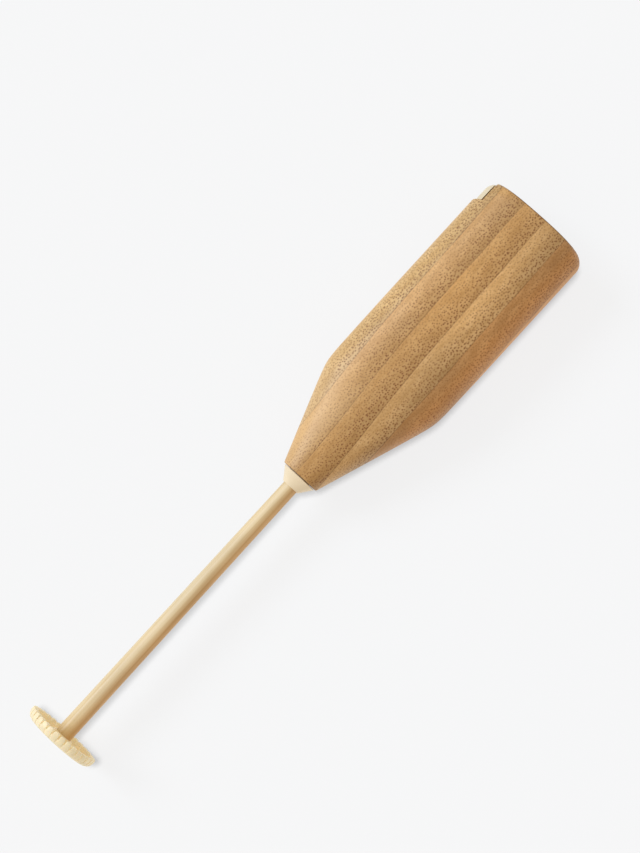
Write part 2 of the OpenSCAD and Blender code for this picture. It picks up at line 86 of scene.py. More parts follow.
NOTCH_SKIN = 1 * MM
OPENING_HALF = 6 * MM
RIM_ROUNDING = 0.3 * MM
NOSE_HOLE_CHAMFER = 0.25 * MM
PARTING_CHAMFER = 0.12 * MM
PARTING_CHAMFER_REACH = 0.3 * MM


def soft_min(a, b, rounding):
    """The lower of two lengths, with the corner between them rounded."""
    return (a + b - math.sqrt((a - b) ** 2 + rounding**2)) / 2


def half_width_at(x, side):
    """Half width of the handle on the button side (1) or the other side (-1)."""
    slope = NEAR_TAPER_SLOPE if side > 0 else FAR_TAPER_SLOPE
    reach = NARROW_HALF_WIDTH + side * AXIS_Y + slope * (x - HANDLE_START)
    past_corner = max(0.0, x - (HANDLE_END - END_CORNER))
    drawn_in = END_CORNER - math.sqrt(max(0.0, END_CORNER**2 - past_corner**2))
    return soft_min(HALF_WIDTH - drawn_in, reach, SHOULDER_ROUNDING)


def half_thickness_at(x):
    """Half thickness of the handle, which swells from its narrow end."""
    remaining = 1 - min(1.0, max(0.0, (x - HANDLE_START) / SWELL_LENGTH))
    swell = HALF_THICKNESS - NARROW_HALF_THICKNESS
    return NARROW_HALF_THICKNESS + swell * (1 - remaining**SWELL_POWER)


def oval(x, angle, inset=0.0):
    """A point of the handle's oval section, from the middle of the handle's width and depth."""
    c, s = math.cos(angle), math.sin(angle)
    width = half_width_at(x, 1 if c >= 0 else -1) - inset
    thickness = half_thickness_at(x) - inset
    y = math.copysign(abs(c) ** (2 / OVAL_POWER) * width, c)
    z = math.copysign(abs(s) ** (2 / OVAL_POWER) * thickness, s)
    return y, z


def notch_limit(x):
    """How far the handle's button side reaches in Y, where the notch is milled into it."""
    if x <= NOTCH_STEP_START:
        return HALF_WIDTH * 2
    share = min(1.0, (x - NOTCH_STEP_START) / NOTCH_STEP_LENGTH)
    return HALF_WIDTH + (NOTCH_FLOOR - HALF_WIDTH) * share


def even_angles(count):
    """Angles over a quarter of the oval, from its side to its crown, at even steps on the surface."""
    fine_steps = 4000
    fine = [math.pi / 2 * i / fine_steps for i in range(fine_steps + 1)]
    points = [oval(HANDLE_END - 2 * END_CORNER, a) for a in fine]
    lengths = [0.0]
    for p, q in zip(points, points[1:]):
        lengths.append(lengths[-1] + math.dist(p, q))
    return list(np.interp(np.linspace(0, lengths[-1], count + 1), lengths, fine))


def angle_at_level(level):
    """Angle at which the straight part of the handle's oval stands at a height over its middle."""
    return math.asin((level / HALF_THICKNESS) ** (OVAL_POWER / 2))


def angle_at_width(width):
    """Angle at which the straight part of the handle's oval stands at a distance from its middle."""
    return math.acos((width / HALF_WIDTH) ** (OVAL_POWER / 2))


# ---------------------------------------------------------------- mesh helpers
MERGE_DISTANCE = 1e-7
SAME_PLACE = 1e-9
LATHE_SEGMENTS = 160
CELL_SEGMENTS = 128
CORNER_STEPS = 6
BOX_FACES = [(0, 1, 3, 2), (4, 6, 7, 5), (0, 4, 5, 1), (2, 3, 7, 6), (0, 2, 6, 4), (1, 5, 7, 3)]


def make_piece(name, body, points, faces, material, replaces):
    """A mesh piece that rides on a body and stands for CAD nodes."""
    mesh = bpy.data.meshes.new(name)
    mesh.from_pydata(points, [], faces)
    mesh.validate()
    obj = bpy.data.objects.new(name, mesh)
    bpy.context.scene.collection.objects.link(obj)
    dress(obj, material)
    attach(obj, body)
    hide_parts(*replaces)
    return obj


def dress(obj, material, smooth_angle=30):
    """Gives a piece its material, and smooth shading up to an angle between faces."""
    obj.data.materials.clear()
    obj.data.materials.append(material)
    obj.data.set_sharp_from_angle(angle=math.radians(smooth_angle))
    for face in obj.data.polygons:
        face.use_smooth = True


def grid_faces(rows, columns, close_rows=False, close_columns=False):
    """Quads between neighbouring points of a grid that is stored row by row."""
    faces = []
    for r in range(rows if close_rows else rows - 1):
        for c in range(columns if close_columns else columns - 1):
            a = r * columns + c
            b = r * columns + (c + 1) % columns
            d = (r + 1) % rows * columns + c
            e = (r + 1) % rows * columns + (c + 1) % columns
            faces.append((a, b, e, d))
    return faces


def tidy_mesh(obj):
    """Joins points that coincide and turns every face outwards."""
    work = bmesh.new()
    work.from_mesh(obj.data)
    bmesh.ops.remove_doubles(work, verts=work.verts, dist=MERGE_DISTANCE)
    bmesh.ops.recalc_face_normals(work, faces=work.faces)
    work.to_mesh(obj.data)
    work.free()


def cut_box(obj, low, high):
    """Cuts a box out of a piece."""
    mesh = bpy.data.meshes.new("cutter")
    corners = []
    for x in (low[0], high[0]):
        for y in (low[1], high[1]):
            for z in (low[2], high[2]):
                corners.append((x, y, z))
    mesh.from_pydata(corners, [], BOX_FACES)
    cutter = bpy.data.objects.new("cutter", mesh)
    bpy.context.scene.collection.objects.link(cutter)
    modifier = obj.modifiers.new("cut", "BOOLEAN")
    modifier.operation = "DIFFERENCE"
    modifier.solver = "EXACT"
    modifier.object = cutter
    apply_modifiers(obj)
    bpy.data.objects.remove(cutter)


def apply_modifiers(obj):
    """Turns a piece's modifiers into its mesh."""
    graph = bpy.context.evaluated_depsgraph_get()
    graph.update()
    made = bpy.data.meshes.new_from_object(obj.evaluated_get(graph), depsgraph=graph)
    obj.modifiers.clear()
    obj.data = made


def set_grain(obj, values):
    """Stores each point's place along the grain and round the section, which the bamboo follows."""
    attribute = obj.data.attributes.new("grain", "FLOAT_VECTOR", "POINT")
    attribute.data.foreach_set("vector", np.array(values, np.float32).ravel())


def lathe(name, body, profile, material, replaces):
    """A closed piece turned round the drive axis from a closed profile of (x, radius) points."""
    points = []
    for x, radius in profile:
        for i in range(LATHE_SEGMENTS):
            turn = 2 * math.pi * i / LATHE_SEGMENTS
            points.append((x, AXIS_Y + radius * math.cos(turn), AXIS_Z + radius * math.sin(turn)))
    faces = grid_faces(len(profile), LATHE_SEGMENTS, close_rows=True, close_columns=True)
    obj = make_piece(name, body, points, faces, material, replaces)
    tidy_mesh(obj)
    dress(obj, material)


def corner(x, radius, rounding, start, end):
    """Points of a rounded profile corner about a centre, from one angle to another in degrees."""
    found = []
    for i in range(CORNER_STEPS + 1):
        turn = math.radians(start + (end - start) * i / CORNER_STEPS)
        found.append((x + rounding * math.cos(turn), radius + rounding * math.sin(turn)))
    return found


# ---------------------------------------------------------------- material helpers
def srgb(red, green, blue):
    """A colour given as 0 to 255 on a screen, as the linear colour that shaders use."""
    linear = []
    for value in (red, green, blue):
        share = value / 255
        linear.append(share / 12.92 if share <= 0.04045 else ((share + 0.055) / 1.055) ** 2.4)
    return (*linear, 1.0)


class Paint:
    """Builds one material's nodes."""

    # Sockets of a mix node that are used for colours
    MIX_SHARE = 0
    MIX_LOW = 6
    MIX_HIGH = 7
    MIX_RESULT = 2

    def __init__(self, name, **shader_values):
        self.material = bpy.data.materials.new(name)
        self.material.use_nodes = True
        self.tree = self.material.node_tree
        self.shader = self.tree.nodes["Principled BSDF"]
        for key, value in shader_values.items():
            self.shader.inputs[key.replace("_", " ")].default_value = value
        self.place = self.add("ShaderNodeTexCoord").outputs["Object"]

    def add(self, kind, inputs=None, **settings):
        """Adds a node, makes its settings and feeds its inputs."""
        node = self.tree.nodes.new(kind)
        for key, value in settings.items():
            setattr(node, key, value)
        for key, value in (inputs or {}).items():
            self.feed(node.inputs[key], value)
        return node

    def feed(self, socket, value):
        """Links another node's output to a socket, or sets it to a plain value."""
        if isinstance(value, bpy.types.NodeSocket):
            self.tree.links.new(value, socket)
        else:
            socket.default_value = value

    def math(self, operation, *values):
        """A sum on numbers from nodes, or on plain numbers."""
        return self.add("ShaderNodeMath", dict(enumerate(values)), operation=operation).outputs[0]

    def mix(self, share, low, high, blend="MIX"):
        """Goes from one colour to another, or multiplies them, as share goes from 0 to 1."""
        node = self.add("ShaderNodeMix", data_type="RGBA", blend_type=blend)
        self.feed(node.inputs[self.MIX_SHARE], share)
        self.feed(node.inputs[self.MIX_LOW], low)
        self.feed(node.inputs[self.MIX_HIGH], high)
        return node.outputs[self.MIX_RESULT]

    def ease(self, value, low, high, to_low=0.0, to_high=1.0):
        """A smooth step of value between low and high."""
        return self.add(
            "ShaderNodeMapRange",
            {0: value, 1: low, 2: high, 3: to_low, 4: to_high},
            interpolation_type="SMOOTHSTEP",
        ).outputs[0]

    def stretch(self, vector, scale):
        """A place multiplied by a scale in each direction, so that a pattern gets finer along it."""
        return self.add("ShaderNodeMapping", {"Vector": vector, "Scale": scale}).outputs[0]

    def noise(self, vector, detail, roughness=0.55):
        """Soft random values round 0.5."""
        return self.add(
            "ShaderNodeTexNoise",
            {"Vector": vector, "Scale": 1.0, "Detail": detail, "Roughness": roughness},
        ).outputs[0]

    def split(self, vector):
        """The three numbers of a place."""
        return self.add("ShaderNodeSeparateXYZ", {0: vector}).outputs

    def join(self, x, y, z=0.0):
        """A place made of three numbers."""
        return self.add("ShaderNodeCombineXYZ", {0: x, 1: y, 2: z}).outputs[0]

    def shade(self, color, factor):
        """A colour made darker or lighter by a number from nodes."""
        return self.mix(1.0, color, self.join(factor, factor, factor), blend="MULTIPLY")

    def tint(self, color, share, dark, light):
        """A colour multiplied by a tint between two, as a number from nodes goes from 0 to 1."""
        return self.mix(1.0, color, self.mix(share, dark, light), blend="MULTIPLY")

    def finish(self, color, roughness, height=None, depth=0.0, strength=0.0):
        """Joins colour, roughness and, where a height is given, bump to the shader."""
        self.feed(self.shader.inputs["Base Color"], color)
        self.feed(self.shader.inputs["Roughness"], roughness)
        if height is not None:
            bump = self.add(
                "ShaderNodeBump", {"Height": height, "Distance": depth, "Strength": strength}
            )
            self.feed(self.shader.inputs["Normal"], bump.outputs[0])
        return self.material


# ---------------------------------------------------------------- bamboo of the handle
STRIP_WIDTH = 9.0 * MM
STRIP_LINE = 6.6 * MM
STRIP_SLANT = 0.016
STRIP_TILT = math.tan(math.radians(8))
TAPER_DRIFT = 2.5 * MM
STRIP_MIDDLE = HANDLE_START + 68 * MM
# From the side away from the button to the button's side
STRIP_TONES = [
    srgb(202, 153, 98),
    srgb(226, 184, 127),
    srgb(219, 173, 112),
    srgb(216, 172, 112),
    srgb(233, 196, 138),
    srgb(230, 196, 145),
]
FIRST_STRIP = -3
# Painted shade over the taper, on the strips away from the button
LAST_TAPER_SHADE_STRIP = -0.5
TAPER_SHADE_FROM = HANDLE_START + 50 * MM
TAPER_SHADE_TO = HANDLE_START + 75 * MM
# Painted sheen: the narrow end is paler on the button's side
SHEEN_FROM = HANDLE_START + 18 * MM
SHEEN_TO = HANDLE_START + 48 * MM
SHEEN_TONE = srgb(247, 214, 166)
# Painted shade: the last stretch before the end is darker
SHADED_FROM = HANDLE_END - 36 * MM
SHADED_TO = HANDLE_END - 3 * MM
# The flat end is darker as end grain, and the dark band reaches onto the rounded rim as painted shade
END_GRAIN_AND_RIM_SHADE_FROM = HANDLE_END - 0.6 * MM
END_GRAIN_AND_RIM_SHADE_TO = HANDLE_END - 0.1 * MM
END_GRAIN_AND_RIM_SHADE_TONE = srgb(112, 76, 42)
GLUE_TONE = srgb(98, 60, 30)
CLOUD_TINTS = ((0.89, 0.84, 0.75, 1), (1.1, 1.13, 1.2, 1))
FLECK_TINTS = ((0.9, 0.86, 0.77, 1), (1.05, 1.09, 1.15, 1))
# Painted light: the edge away from the button is made paler and warmer
FAR_EDGE_LIGHT_TINTS = ((1.29, 1.21, 1.08, 1), (1, 1, 1, 1))
DOT_LENGTH = 1.05 * MM
DOT_WIDTH = 0.85 * MM
DOT_TONE = srgb(114, 62, 22)
HALO_TONE = srgb(174, 118, 64)


def find_strips(paint, x, y, z):
    """Each point's strip number, and how far across that strip it lies, from 0 to 1.

    The glued strips are a little tilted and slanted, more so on the taper.
    """
    height = paint.math("MULTIPLY", paint.math("SUBTRACT", z, AXIS_Z), STRIP_TILT)
    y = paint.math("ADD", y, height)
    slant = paint.math("MULTIPLY", paint.math("SUBTRACT", x, STRIP_MIDDLE), STRIP_SLANT)
    drift = paint.ease(x, HANDLE_START, HANDLE_START + 62 * MM, -TAPER_DRIFT, 0.0)
    slant = paint.math("ADD", slant, paint.math("MULTIPLY", drift, paint.ease(y, -11 * MM, -7 * MM)))
    waver = paint.noise(paint.stretch(paint.place, (30, 0, 0)), detail=1)
    shift = paint.math("MULTIPLY", paint.math("SUBTRACT", waver, 0.5), 0.6 * MM)
    level = paint.math("SUBTRACT", paint.math("ADD", y, shift), slant)
    strips = paint.math("DIVIDE", paint.math("SUBTRACT", level, STRIP_LINE), STRIP_WIDTH)
    number = paint.math("FLOOR", strips)
    return y, number, paint.math("SUBTRACT", strips, number)


def strip_tones(paint, number, share):
    """Each strip's own tone, darker towards one of its edges."""
    ramp = paint.add("ShaderNodeValToRGB")
    ramp.color_ramp.interpolation = "CONSTANT"
    stops = ramp.color_ramp.elements
    for i, tone in enumerate(STRIP_TONES):
        stop = stops[i] if i < 2 else stops.new(i / len(STRIP_TONES))
        stop.position = i / len(STRIP_TONES)
        stop.color = tone
    shifted = paint.math("ADD", paint.math("SUBTRACT", number, FIRST_STRIP), 0.5)
    paint.feed(ramp.inputs[0], paint.math("DIVIDE", shifted, len(STRIP_TONES)))
    return paint.shade(ramp.outputs[0], paint.ease(share, 0.0, 0.9, 0.84, 1.07))


def add_dots(paint, color, along, across, share, clouds):
    """Fibre bundles show as small dark dots with a soft halo, fewer towards one edge of a strip."""
    dot_place = paint.join(
        paint.math("DIVIDE", along, DOT_LENGTH), paint.math("DIVIDE", across, DOT_WIDTH)
    )
    cells = paint.add(
        "ShaderNodeTexVoronoi",
        {"Vector": dot_place, "Scale": 1.0, "Randomness": 0.85},
        voronoi_dimensions="2D",
        feature="F1",
    )
    chance = paint.split(cells.outputs["Color"])[0]
    spread = paint.math("MULTIPLY", chance, 0.13)
    size = paint.math("ADD", paint.ease(share, 0.0, 1.0, 0.21, 0.14), spread)
    reach = paint.math("SUBTRACT", cells.outputs["Distance"], size)
    inside = paint.ease(reach, -0.14, 0.07, 1.0, 0.0)
    halo = paint.ease(reach, 0.0, 0.26, 1.0, 0.0)
    cloudy = paint.ease(clouds, 0.3, 0.6, 0.45, 1.0)
    crowd = paint.math("MULTIPLY", cloudy, paint.ease(share, 0.25, 1.0, 1.0, 0.5))
    halo_share = paint.math("MULTIPLY", paint.math("MULTIPLY", halo, crowd), 0.3)
    dot_share = paint.math("MULTIPLY", paint.math("MULTIPLY", inside, crowd), 0.82)
    color = paint.mix(halo_share, color, HALO_TONE)
    return paint.mix(dot_share, color, DOT_TONE), inside


def add_glue_lines(paint, color, share):
    """Thin dark lines between the strips, which fade in places."""
    edge = paint.math("MINIMUM", share, paint.math("SUBTRACT", 1.0, share))
    line = paint.ease(edge, 0.003, 0.02, 1.0, 0.0)
    patchy = paint.noise(paint.stretch(paint.place, (60, 5, 5)), detail=2)
    faint = paint.ease(patchy, 0.35, 0.6, 0.4, 1.0)
    line_share = paint.math("MULTIPLY", paint.math("MULTIPLY", line, faint), 0.62)
    return paint.mix(line_share, color, GLUE_TONE)


def bamboo(name, seed):
    """Laminated bamboo: strips of differing tone with thin glue lines, dotted by fibre bundles."""
    paint = Paint(name, Specular_IOR_Level=0.5)
    x, y, z = paint.split(paint.place)
    grain = paint.add("ShaderNodeAttribute", attribute_name="grain").outputs["Vector"]
    along, across, _ = paint.split(grain)
    y, number, share = find_strips(paint, x, y, z)
    color = strip_tones(paint, number, share)

    # Warm patches and soft clouds along each strip, with fine fibres and flecks over them
    strip_place = paint.join(paint.math("ADD", x, seed), y, paint.math("MULTIPLY", number, 0.37))
    fibre_place = paint.join(along, across, seed)
    patches = paint.noise(paint.stretch(strip_place, (38, 150, 1)), detail=3)
    clouds = paint.noise(paint.stretch(strip_place, (140, 420, 1)), detail=4, roughness=0.65)
    fibres = paint.noise(paint.stretch(fibre_place, (120, 3000, 1)), detail=3)
    flecks = paint.noise(paint.stretch(fibre_place, (1500, 3600, 1)), detail=2)
    # Painted shade: the strips on the side away from the button are darker over the taper
    taper_shade_strip = paint.math("LESS_THAN", number, LAST_TAPER_SHADE_STRIP)
    taper_shade_stretch = paint.ease(x, TAPER_SHADE_FROM, TAPER_SHADE_TO, 1.0, 0.0)
    color = paint.mix(paint.math("MULTIPLY", taper_shade_strip, taper_shade_stretch), color, paint.shade(color, 0.85))
    warm = paint.math("MULTIPLY", paint.ease(patches, 0.42, 0.7), 0.55)
    color = paint.mix(warm, color, paint.shade(color, 0.82))
    color = paint.tint(color, paint.ease(clouds, 0.28, 0.72), *CLOUD_TINTS)
    color = paint.shade(color, paint.ease(fibres, 0.2, 0.8, 0.94, 1.05))
    color = paint.tint(color, paint.ease(flecks, 0.25, 0.75), *FLECK_TINTS)
    color, dots = add_dots(paint, color, along, across, share, clouds)
    color = add_glue_lines(paint, color, share)

    # Painted light and shade: the edge away from the button is painted paler and warmer as light,
    # the narrow end is painted paler on the button's side as a sheen, and the last stretch before
    # the dark end is painted darker as shade.
    color = paint.tint(color, paint.ease(y, -17.5 * MM, -13 * MM), *FAR_EDGE_LIGHT_TINTS)
    sheen_end = paint.ease(x, SHEEN_FROM, SHEEN_TO, 0.36, 0.0)
    sheen_side = paint.ease(y, 2 * MM, 7 * MM)
    color = paint.mix(paint.math("MULTIPLY", sheen_end, sheen_side), color, SHEEN_TONE)
    color = paint.shade(color, paint.ease(x, SHADED_FROM, SHADED_TO, 1.0, 0.87))
    # End grain on the flat end, with painted shade on the rounded rim round it
    end_grain_and_rim_shade = paint.ease(x, END_GRAIN_AND_RIM_SHADE_FROM, END_GRAIN_AND_RIM_SHADE_TO)
    color = paint.mix(paint.math("MULTIPLY", end_grain_and_rim_shade, 0.7), color, END_GRAIN_AND_RIM_SHADE_TONE)

    fleck_gloss = paint.ease(flecks, 0.2, 0.8, 0.4, 0.52)
    roughness = paint.math("ADD", fleck_gloss, paint.math("MULTIPLY", dots, 0.08))
    raised = paint.math("MULTIPLY", flecks, 0.3)
    height = paint.math("SUBTRACT", raised, paint.math("MULTIPLY", dots, 0.45))
    return paint.finish(color, roughness, height, depth=0.035 * MM, strength=0.6)


# ---------------------------------------------------------------- plastics, metals and the rest
def moulded(name, tone, roughness=0.42, speckle=0.03, **values):
    """Moulded plastic: a fine spark-eroded surface and slightly uneven tone."""
    paint = Paint(name, **values)
    grain = paint.noise(paint.stretch(paint.place, (9000, 9000, 9000)), detail=2)
    cloud = paint.noise(paint.stretch(paint.place, (120, 120, 120)), detail=2)
    color = paint.shade(tone, paint.ease(cloud, 0.3, 0.7, 1 - speckle, 1 + speckle))
    rough = paint.ease(grain, 0.2, 0.8, roughness - 0.04, roughness + 0.06)
    return paint.finish(color, rough, grain, depth=0.008 * MM, strength=0.5)


def brushed(name, tone, roughness, direction=(1, 1, 12)):
    """Drawn or brushed metal, with its lines along the axis that has the smallest scale."""
    paint = Paint(name, Metallic=1.0)
    lines = paint.noise(paint.stretch(paint.place, tuple(400 * d for d in direction)), detail=3)
    color = paint.shade(tone, paint.ease(lines, 0.2, 0.8, 0.88, 1.08))
    rough = paint.ease(lines, 0.2, 0.8, roughness - 0.06, roughness + 0.1)
    return paint.finish(color, rough, lines, depth=0.006 * MM, strength=0.4)


def stick_finish():
    """Satin stick: streaked along its length, painted light on one side and painted shade on the other,
    golden at its foot.
    """
    paint = Paint("stick_satin", Specular_IOR_Level=0.5)
    x, y, _ = paint.split(paint.place)
    streaks = paint.noise(paint.stretch(paint.place, (14, 700, 700)), detail=3)
    cloud = paint.noise(paint.stretch(paint.place, (50, 200, 200)), detail=2)
    streaked = paint.ease(streaks, 0.25, 0.75)
    # The pale side is painted light and the golden side painted shade, so both turn with the stick.
    pale = paint.mix(streaked, srgb(217, 193, 147), srgb(240, 223, 187))
    golden = paint.mix(streaked, srgb(203, 157, 98), srgb(223, 182, 126))
    color = paint.mix(paint.ease(y, AXIS_Y - 2.9 * MM, AXIS_Y + 0.3 * MM), golden, pale)
    color = paint.shade(color, paint.ease(cloud, 0.3, 0.7, 0.93, 1.05))
    band = paint.ease(x, STICK_LOW.x + 2 * MM, STICK_LOW.x + 11 * MM, 1.0, 0.0)
    color = paint.mix(paint.math("MULTIPLY", band, 0.3), color, srgb(206, 166, 96))
    rough = paint.ease(streaks, 0.2, 0.8, 0.32, 0.46)
    return paint.finish(color, rough, streaks, depth=0.012 * MM, strength=0.5)


HEAD_GLOW_TONE = srgb(255, 240, 204)
HEAD_GLOW = 0.13


def head_finish():
    """Pale cream whisk head, golden in the dish round the stick, with a weak glow of its own."""
    paint = Paint("whisk_cream", Specular_IOR_Level=0.45)
    paint.shader.inputs["Subsurface Weight"].default_value = 0.12
    paint.shader.inputs["Subsurface Radius"].default_value = (0.0012, 0.0008, 0.0004)
    # The real head doesn't glow. This brightens its shaded side for this scene's light, so it
    # should be set to 0 where the whisk is used in another light.
    paint.shader.inputs["Emission Color"].default_value = HEAD_GLOW_TONE
    paint.shader.inputs["Emission Strength"].default_value = HEAD_GLOW
    _, y, z = paint.split(paint.place)
    across = paint.math("SUBTRACT", y, AXIS_Y)
    up = paint.math("SUBTRACT", z, AXIS_Z)
    square = paint.math("ADD", paint.math("MULTIPLY", across, across), paint.math("MULTIPLY", up, up))
    radius = paint.math("SQRT", square)
    inner = paint.ease(radius, HEAD_RADIUS - 3 * MM, HEAD_RADIUS - 1.2 * MM, 1.0, 0.0)
    color = paint.mix(inner, srgb(240, 228, 194), srgb(238, 218, 168))
    cloud = paint.noise(paint.stretch(paint.place, (500, 500, 500)), detail=3)
    color = paint.shade(color, paint.ease(cloud, 0.3, 0.7, 0.93, 1.04))
    rough = paint.ease(cloud, 0.2, 0.8, 0.34, 0.46)
    return paint.finish(color, rough, cloud, depth=0.01 * MM, strength=0.4)


def wound(name):
    """Enamelled copper wire laid side by side."""
    paint = Paint(name, Metallic=0.9, Coat_Weight=0.5, Coat_Roughness=0.2)
    wave = paint.add(
        "ShaderNodeTexWave",
        {"Vector": paint.place, "Scale": 900.0, "Distortion": 0.6, "Detail": 1.0},
        wave_type="BANDS",
        bands_direction="X",
    ).outputs[1]
    color = paint.mix(wave, srgb(120, 52, 22), srgb(196, 104, 52))
    return paint.finish(color, paint.ease(wave, 0, 1, 0.4, 0.25), wave, depth=0.08 * MM, strength=0.8)


# Places on a cell, as a share of its length from the flat end
COPPER_FROM = 0.72
PALE_BAND_AT = 0.712
PALE_BAND_HALF = 0.004
STEEL_FROM = 0.963
STEEL_UNTIL = 0.009
SHARP_STEP = 0.001


def sleeve(name, low_x, high_x, points_to_head):
    """A cell's finish: green, with copper at the positive end and bare steel at both ends."""
    paint = Paint(name, Metallic=0.6, Coat_Weight=0.5, Coat_Roughness=0.12)
    x = paint.split(paint.place)[0]
    share = paint.math("DIVIDE", paint.math("SUBTRACT", x, low_x), high_x - low_x)
    if points_to_head:
        share = paint.math("SUBTRACT", 1.0, share)
    grain = paint.noise(paint.stretch(paint.place, (300, 300, 300)), detail=2)
    copper_end = paint.ease(share, COPPER_FROM - SHARP_STEP, COPPER_FROM + SHARP_STEP)
    color = paint.mix(copper_end, srgb(44, 84, 62), srgb(206, 148, 86))
    band = paint.math("COMPARE", share, PALE_BAND_AT, PALE_BAND_HALF)
    color = paint.mix(band, color, srgb(226, 220, 204))
    tip_end = paint.ease(share, STEEL_FROM - SHARP_STEP, STEEL_FROM + SHARP_STEP)
    flat_end = paint.ease(share, STEEL_UNTIL - SHARP_STEP, STEEL_UNTIL + SHARP_STEP, 1.0, 0.0)
    steel_end = paint.math("MAXIMUM", tip_end, flat_end)
    color = paint.mix(steel_end, color, srgb(200, 200, 202))
    color = paint.shade(color, paint.ease(grain, 0.3, 0.7, 0.94, 1.04))
    return paint.finish(color, paint.ease(grain, 0.2, 0.8, 0.24, 0.34))


BAMBOO_FRONT = bamboo("bamboo_front", 0.0)
BAMBOO_BACK = bamboo("bamboo_back", 3.7)
NOSE_CREAM = moulded("nose_cream", srgb(250, 235, 206), roughness=0.38, Specular_IOR_Level=0.45)
PAD_CREAM = moulded("pad_cream", srgb(228, 217, 190), roughness=0.4, Specular_IOR_Level=0.45)
CHASSIS_CREAM = moulded("chassis_cream", srgb(226, 218, 198), roughness=0.5)
CAP_NYLON = moulded("cap_nylon", srgb(222, 220, 210), roughness=0.45)
DARK_PLASTIC = moulded("dark_plastic", srgb(44, 44, 47), roughness=0.45, speckle=0.08)
RUBBER = moulded("rubber", srgb(34, 34, 36), roughness=0.75, speckle=0.1)
MAGNET = moulded("magnet_ferrite", srgb(58, 57, 60), roughness=0.62, speckle=0.12, Metallic=0.3)
LEAD_BLACK = moulded("lead_black", srgb(30, 30, 33), roughness=0.4, speckle=0.06)
LEAD_RED = moulded("lead_red", srgb(176, 34, 28), roughness=0.4, speckle=0.06)
STEEL = brushed("steel", srgb(196, 198, 202), roughness=0.26)
SCREW_STEEL = brushed("screw_steel", srgb(188, 190, 196), roughness=0.32, direction=(4, 4, 4))
CAN_STEEL = brushed("can_steel", srgb(186, 188, 192), roughness=0.34, direction=(12, 1, 1))
CORE_IRON = brushed("core_iron", srgb(120, 118, 116), roughness=0.45, direction=(14, 1, 1))
BRASS = brushed("brass", srgb(214, 178, 104), roughness=0.3, direction=(3, 3, 3))
BRONZE = brushed("bronze", srgb(176, 132, 88), roughness=0.42, direction=(6, 6, 6))
COPPER = brushed("copper", srgb(206, 128, 88), roughness=0.32, direction=(3, 3, 3))
WINDING = wound("winding_copper")
STICK_SATIN = stick_finish()
HEAD_CREAM = head_finish()


# ---------------------------------------------------------------- the handle's two halves
def outer_stations():
    """Places along the handle's outside, closer together at its rims, taper and notch."""
    taper = np.linspace(HANDLE_START + RIM_ROUNDING, HANDLE_START + SWELL_LENGTH, 67)
    straight = np.linspace(HANDLE_START + SWELL_LENGTH + 2 * MM, NOTCH_STEP_START - 0.5 * MM, 20)
    step = np.linspace(NOTCH_STEP_START, NOTCH_STEP_START + NOTCH_STEP_LENGTH, 8)
    last = np.linspace(NOTCH_STEP_START + 1.8 * MM, HANDLE_END - END_CORNER - 0.3 * MM, 5)
    turns = np.linspace(0, math.asin(1 - RIM_ROUNDING / END_CORNER), 10)
    corners = HANDLE_END - END_CORNER * (1 - np.sin(turns))
    return [float(x) for x in np.concatenate([taper, straight, step, last, corners])]


def half_handle(name, body, node, material, first_angle):
    """One half of the handle.

    Every angle's closed line makes one column of a grid, and flat faces close its two sides.
    """
    quarter = even_angles(60)
    # Extra points at the parting line's chamfer and at the notch's floor
    levels = [0.12 * MM, PARTING_CHAMFER_REACH]
    extra = [angle_at_level(level) for level in levels] + [angle_at_width(NOTCH_FLOOR)]
    quarter = sorted(set(quarter + extra))
    half = quarter + [math.pi - angle for angle in reversed(quarter[:-1])]
    columns = [column(first_angle + angle) for angle in half]
    rows = len(columns[0])
    points = [(x, y, z + AXIS_Z) for line in columns for x, y, z in line]
    faces = grid_faces(len(columns), rows, close_columns=True)
    faces.append(tuple(range(rows)))
    faces.append(tuple((len(columns) - 1) * rows + i for i in reversed(range(rows))))
    obj = make_piece(name, body, points, faces, material, [node])
    set_grain(obj, grain_of(columns))
    tidy_mesh(obj)
    low = (HANDLE_END - NOTCH_LENGTH - 3 * MM, NOTCH_FLOOR - 3 * MM, AXIS_Z - OPENING_HALF)
    high = (CAVITY_END, NOTCH_FLOOR + 0.01 * MM, AXIS_Z + OPENING_HALF)
    cut_box(obj, low, high)
    dress(obj, material)


